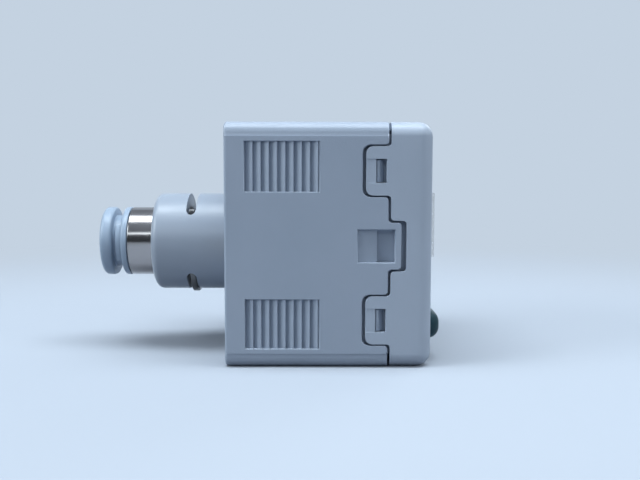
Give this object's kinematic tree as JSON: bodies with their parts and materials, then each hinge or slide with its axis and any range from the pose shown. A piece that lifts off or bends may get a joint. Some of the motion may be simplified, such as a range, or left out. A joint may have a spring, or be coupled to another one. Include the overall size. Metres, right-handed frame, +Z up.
{
  "type": "digital pressure switch",
  "caption": "Square digital pressure switch with a display window and soft keys at the front, ratchet pockets on its sides and a push-in tube fitting at the rear.",
  "frame": {"origin": "on the casing's flat bottom face, 12.5 mm in front of its rear face and on its middle plane", "axes": "+X from the tube fitting towards the display front, +Y across the casing, +Z up"},
  "size_m": [0.0447, 0.03, 0.03],
  "materials": {
    "light_grey_plastic": "fine satin",
    "white_plastic": "satin",
    "clear_window_plastic": "polished clear",
    "green_grey_rubber": "matt",
    "black_seal_rubber": "matt",
    "stainless_steel": "bright rolled",
    "bright_nickel": "nickel-plated, mirror bright",
    "brass": "turned",
    "gold_plate": "gold-plated",
    "green_board": "lacquered circuit board",
    "lcd_glass": "dark polished",
    "black_plastic": "moulded"
  },
  "bodies": {
    "casing": {"rear_housing": "light_grey_plastic", "front_bezel": "light_grey_plastic", "port_adaptor": "light_grey_plastic", "display_window": "clear_window_plastic", "lcd_panel": "lcd_glass", "light_guide": "white_plastic", "board_holder": "white_plastic", "display_board": "green_board", "main_board": "green_board", "link_plug": "black_plastic", "link_socket": "black_plastic", "board_screw_lower": "stainless_steel", "board_screw_upper": "stainless_steel", "push_switch_down": "black_plastic", "push_switch_set": "black_plastic", "push_switch_up": "black_plastic", "pressure_sensor": "stainless_steel", "sensor_seal_ring": "black_seal_rubber", "sleeve_seal_ring": "black_seal_rubber", "tube_seal": "black_seal_rubber", "retaining_clip": "stainless_steel", "fitting_sleeve": "bright_nickel", "tube_collet": "stainless_steel", "tube_guide": "white_plastic", "thread_insert_near": "brass", "thread_insert_far": "brass", "lead_socket": "black_plastic", "contact_pin_1": "gold_plate", "contact_pin_2": "gold_plate", "contact_pin_3": "gold_plate", "contact_pin_4": "gold_plate", "contact_pin_5": "gold_plate"},
    "key_down": {"key_down": "green_grey_rubber"},
    "key_set": {"key_set": "green_grey_rubber"},
    "key_up": {"key_up": "green_grey_rubber"},
    "release_button": {"release_button": "white_plastic"}
  },
  "joints": [
    {"name": "key_down_press", "type": "slide", "parent": "casing", "child": "key_down", "axis": [-1, 0, 0], "range_m": [0, 0.00025], "stiffness_N_per_m": 4000},
    {"name": "key_set_press", "type": "slide", "parent": "casing", "child": "key_set", "axis": [-1, 0, 0], "range_m": [0, 0.00025], "stiffness_N_per_m": 4000},
    {"name": "key_up_press", "type": "slide", "parent": "casing", "child": "key_up", "axis": [-1, 0, 0], "range_m": [0, 0.00025], "stiffness_N_per_m": 4000},
    {"name": "release_button_press", "type": "slide", "parent": "casing", "child": "release_button", "axis": [1, 0, 0], "range_m": [0, 0.00065], "stiffness_N_per_m": 3000}
  ]
}
